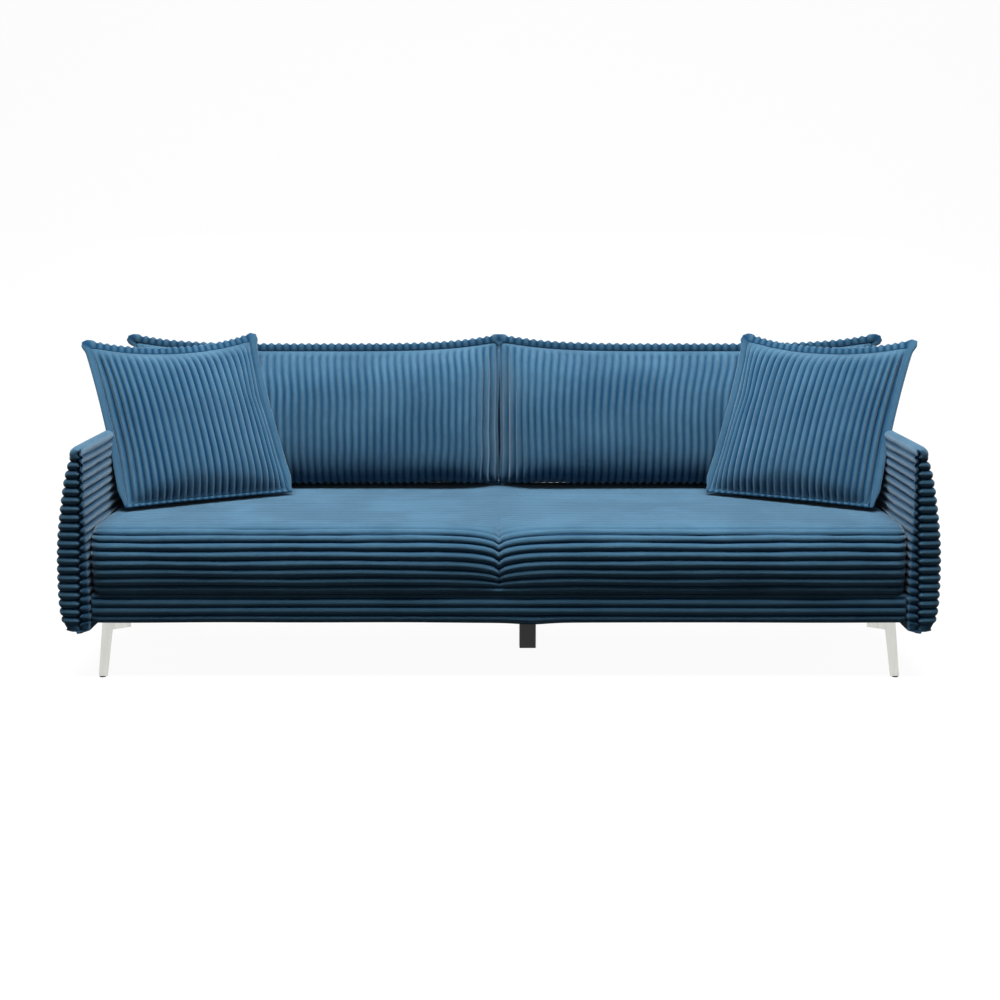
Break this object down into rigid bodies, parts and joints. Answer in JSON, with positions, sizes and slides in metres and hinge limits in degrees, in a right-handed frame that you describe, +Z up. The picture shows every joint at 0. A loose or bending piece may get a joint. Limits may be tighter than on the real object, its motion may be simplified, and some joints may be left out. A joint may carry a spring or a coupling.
{
  "type": "futon sofa bed",
  "caption": "Three-seat pull-out sofa bed: the seat slides forward and the hinged backrest lies flat behind it; ribbed upholstery, metal corner legs.",
  "frame": {"origin": "on the floor under the middle of the sofa", "axes": "+X along the sofa, to the right of somebody facing it; +Y to the back; +Z up"},
  "size_m": [2.502, 1.02, 0.8972],
  "materials": {
    "beech_timber": "planed",
    "black_plastic": "moulded, satin",
    "chrome_legs": "polished",
    "cord_plush": "wide-wale corduroy plush",
    "dust_cloth": "non-woven",
    "elastic_webbing": "woven",
    "hardboard": "pressed",
    "nylon": "moulded",
    "wool_felt": "felt",
    "zinc_steel": "zinc plated"
  },
  "bodies": {
    "base": {"arm_board_left": "beech_timber", "arm_board_right": "beech_timber", "arm_bolts_left": "zinc_steel", "arm_bolts_right": "zinc_steel", "arm_left": "cord_plush", "arm_right": "cord_plush", "backrest_rest_rail": "beech_timber", "base_centre_beam": "beech_timber", "base_cross_rails": "beech_timber", "base_dust_cover": "dust_cloth", "base_front_board": "beech_timber", "base_front_cover": "cord_plush", "base_rear_cover": "cord_plush", "base_rear_panel": "beech_timber", "base_side_board_left": "beech_timber", "base_side_board_right": "beech_timber", "cam_plate_left": "zinc_steel", "cam_plate_right": "zinc_steel", "centre_support_leg": "black_plastic", "front_leg_left": "chrome_legs", "front_leg_right": "chrome_legs", "leg_glides": "black_plastic", "rear_leg_left": "chrome_legs", "rear_leg_right": "chrome_legs", "rest_felt_pads": "wool_felt", "rest_rail_posts": "beech_timber", "slide_channel_left": "zinc_steel", "slide_channel_right": "zinc_steel"},
    "seat": {"seat_cushion": "cord_plush", "seat_front_rail": "beech_timber", "seat_rear_rail": "beech_timber", "seat_side_rail_left": "beech_timber", "seat_side_rail_right": "beech_timber", "seat_centre_rail": "beech_timber", "seat_webbing": "elastic_webbing", "hinge_bracket_left": "zinc_steel", "hinge_bracket_right": "zinc_steel", "hinge_pins": "zinc_steel", "roller_axles": "zinc_steel"},
    "backrest": {"backrest_bottom_rail": "beech_timber", "backrest_centre_stile": "beech_timber", "backrest_hinge_arm_left": "zinc_steel", "backrest_hinge_arm_right": "zinc_steel", "backrest_pad": "cord_plush", "backrest_panels": "hardboard", "backrest_rear_cover": "cord_plush", "backrest_stile_left": "beech_timber", "backrest_stile_right": "beech_timber", "backrest_top_rail": "beech_timber", "guide_studs": "nylon", "back_cushion_left": "cord_plush", "back_cushion_right": "cord_plush"},
    "front_rollers": {"front_roller_left": "nylon", "front_roller_right": "nylon"},
    "rear_rollers": {"rear_roller_left": "nylon", "rear_roller_right": "nylon"},
    "throw_pillow_left": {"throw_pillow_left": "cord_plush"},
    "throw_pillow_right": {"throw_pillow_right": "cord_plush"}
  },
  "joints": [
    {"name": "seat_slide", "type": "slide", "parent": "base", "child": "seat", "axis": [0, -1, 0], "range_m": [0, 0.34]},
    {"name": "backrest_fold", "type": "hinge", "parent": "seat", "child": "backrest", "pos_m": [0, 0.31, 0.44], "axis": [-1, 0, 0], "range_deg": [0, 78.3]},
    {"name": "front_roller_turn", "type": "hinge", "parent": "seat", "child": "front_rollers", "pos_m": [0, -0.09, 0.2575], "axis": [1, 0, 0], "range_deg": [0, 1220]},
    {"name": "rear_roller_turn", "type": "hinge", "parent": "seat", "child": "rear_rollers", "pos_m": [0, 0.27, 0.2575], "axis": [1, 0, 0], "range_deg": [0, 1220]},
    {"name": "throw_pillow_left_lift", "type": "slide", "parent": "seat", "child": "throw_pillow_left", "axis": [0, 0, 1], "range_m": [0, 0.6]},
    {"name": "throw_pillow_right_lift", "type": "slide", "parent": "seat", "child": "throw_pillow_right", "axis": [0, 0, 1], "range_m": [0, 0.6]}
  ],
  "couplings": [
    {"joint": "backrest_fold", "follows": "seat_slide", "rad_per_m": 4.004},
    {"joint": "front_roller_turn", "follows": "seat_slide", "rad_per_m": 62.5},
    {"joint": "rear_roller_turn", "follows": "seat_slide", "rad_per_m": 62.5}
  ]
}
